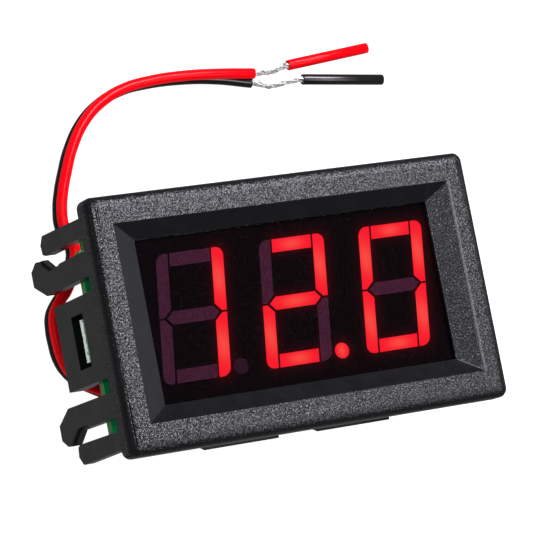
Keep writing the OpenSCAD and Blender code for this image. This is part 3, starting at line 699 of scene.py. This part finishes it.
def islands(bm):
    """The groups of vertices that edges join."""
    left = set(bm.verts)
    while left:
        group = set()
        edge = [left.pop()]
        while edge:
            v = edge.pop()
            group.add(v)
            near = {e.other_vert(v) for e in v.link_edges} & left
            left -= near
            edge.extend(near)
        yield group


def segment_piece(node, name, material):
    """The light guides of a node; each knows where its bright spot is and how far it reaches."""
    bm = clean_copy(node)
    spot_at = bm.verts.layers.float_vector.new("spot_at")
    spot_reach = bm.verts.layers.float_vector.new("spot_reach")
    for group in islands(bm):
        low = Vector([min(v.co[i] for v in group) for i in range(3)])
        high = Vector([max(v.co[i] for v in group) for i in range(3)])
        middle, half = (low + high) / 2, (high - low) / 2
        # The spot reaches nearer to a segment's sides than to its ends
        share_x, share_y = (0.62, 0.95) if half.x > half.y else (0.95, 0.62)
        for v in group:
            v[spot_at] = (middle.x, middle.y, high.z)
            v[spot_reach] = (half.x * share_x, half.y * share_y, high.z - low.z)
    return piece(name, to_mesh(bm, name, smooth=False), material, replaces=[node])


def window_sheet(material):
    """The film as a closed slab whose front is a fine grid, which carries the painted glow."""
    lit = bmesh.new()
    for node in LIT_NODES:
        lit.from_mesh(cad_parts[node].data)
    bmesh.ops.delete(lit, geom=[f for f in lit.faces if f.normal.z < 0.9], context="FACES")
    nearest = BVHTree.FromBMesh(lit)
    low, high = FACE_LOW.copy(), FACE_HIGH.copy()
    low.z += 0.03 * MM  # clear of the light guides' faces
    step = 0.25 * MM
    glow_reach = 0.45 * MM
    columns = round((high.x - low.x) / step)
    rows = round((high.y - low.y) / step)
    bm = bmesh.new()
    glow = bm.verts.layers.float.new("glow")
    grid = [
        [
            bm.verts.new((
                low.x + (high.x - low.x) * i / columns, low.y + (high.y - low.y) * j / rows, high.z
            ))
            for i in range(columns + 1)
        ]
        for j in range(rows + 1)
    ]
    for row in grid:
        for v in row:
            distance = nearest.find_nearest(Vector((v.co.x, v.co.y, FACE_LOW.z)))[3]
            v[glow] = math.exp(-distance / glow_reach)
    for below, above in zip(grid, grid[1:]):
        for i in range(columns):
            bm.faces.new((below[i], below[i + 1], above[i + 1], above[i]))
    first, last = grid[0], grid[-1]
    rim = first[:-1] + [row[-1] for row in grid[:-1]] + last[:0:-1] + [row[0] for row in grid[:0:-1]]
    feet = [bm.verts.new((v.co.x, v.co.y, low.z)) for v in rim]
    for k in range(len(rim)):
        after = (k + 1) % len(rim)
        bm.faces.new((rim[k], feet[k], feet[after], rim[after]))
    bm.faces.new(feet)
    lit.free()
    mesh = to_mesh(bm, "window_sheet", smooth=False)
    return piece("window_sheet", mesh, material, replaces=["window_film"])


lit_material = segment_lit()
dark_material = segment_dark("segment_dark", (0.105, 0.02, 0.052), (0.17, 0.037, 0.09))
point_material = segment_dark("point_dark", (0.045, 0.011, 0.028), (0.065, 0.017, 0.04))
for node in LIT_NODES:
    segment_piece(node, "guide_" + node, lit_material)
for node in DARK_NODES:
    material = point_material if node == "point_dark" else dark_material
    segment_piece(node, "guide_" + node, material)
window_sheet(smoked_film())
dress("display_case", display_black())
dress("display_potting", matt("epoxy", (0.52, 0.48, 0.38), (0.62, 0.58, 0.47), 0.3, 1.5 * MM))

# ---- board and what sits on it ----

leads = metal("tinned_lead", (0.66, 0.66, 0.68), 0.3)
solder = metal("bright_solder", (0.72, 0.73, 0.75), 0.2, 0.4 * MM)
package = matt("package_black", (0.010, 0.010, 0.011), (0.018, 0.018, 0.02), 0.55)
tantalum = matt("tantalum_yellow", (0.62, 0.33, 0.05), (0.74, 0.42, 0.09), 0.5)
ceramic = matt("ceramic_tan", (0.30, 0.18, 0.09), (0.40, 0.25, 0.14), 0.6)
nylon = matt("white_nylon", (0.72, 0.70, 0.64), (0.8, 0.79, 0.74), 0.45)
brass = metal("brass", (0.78, 0.58, 0.28), 0.28)

rounded("circuit_board", "board", board_green(), 0.05 * MM, segments=1)
dress("display_pins", leads)
dress("pin_solder", solder)
dress("wire_solder", solder)
for node in ("controller_body", "regulator_body", "diode_body", "transistor_bodies"):
    rounded(node, "moulded_" + node, package, 0.06 * MM)
rounded("tantalum_body", "moulded_tantalum_body", tantalum, 0.06 * MM)
for node in (
    "controller_leads", "regulator_tabs", "diode_terminals", "tantalum_terminals",
    "transistor_leads", "trimmer_terminals",
):
    dress(node, leads)
rounded("resistor_bodies", "chip_resistor_bodies", package, 0.03 * MM)
rounded("capacitor_bodies", "chip_capacitor_bodies", ceramic, 0.04 * MM)
for node in ("resistor_caps", "capacitor_caps"):
    rounded(node, "soldered_" + node, solder, 0.06 * MM)
rounded("trimmer_base", "moulded_trimmer_base", nylon, 0.08 * MM)
rounded("trimmer_rotor", "turning_disc", brass, 0.03 * MM, body="trimmer")
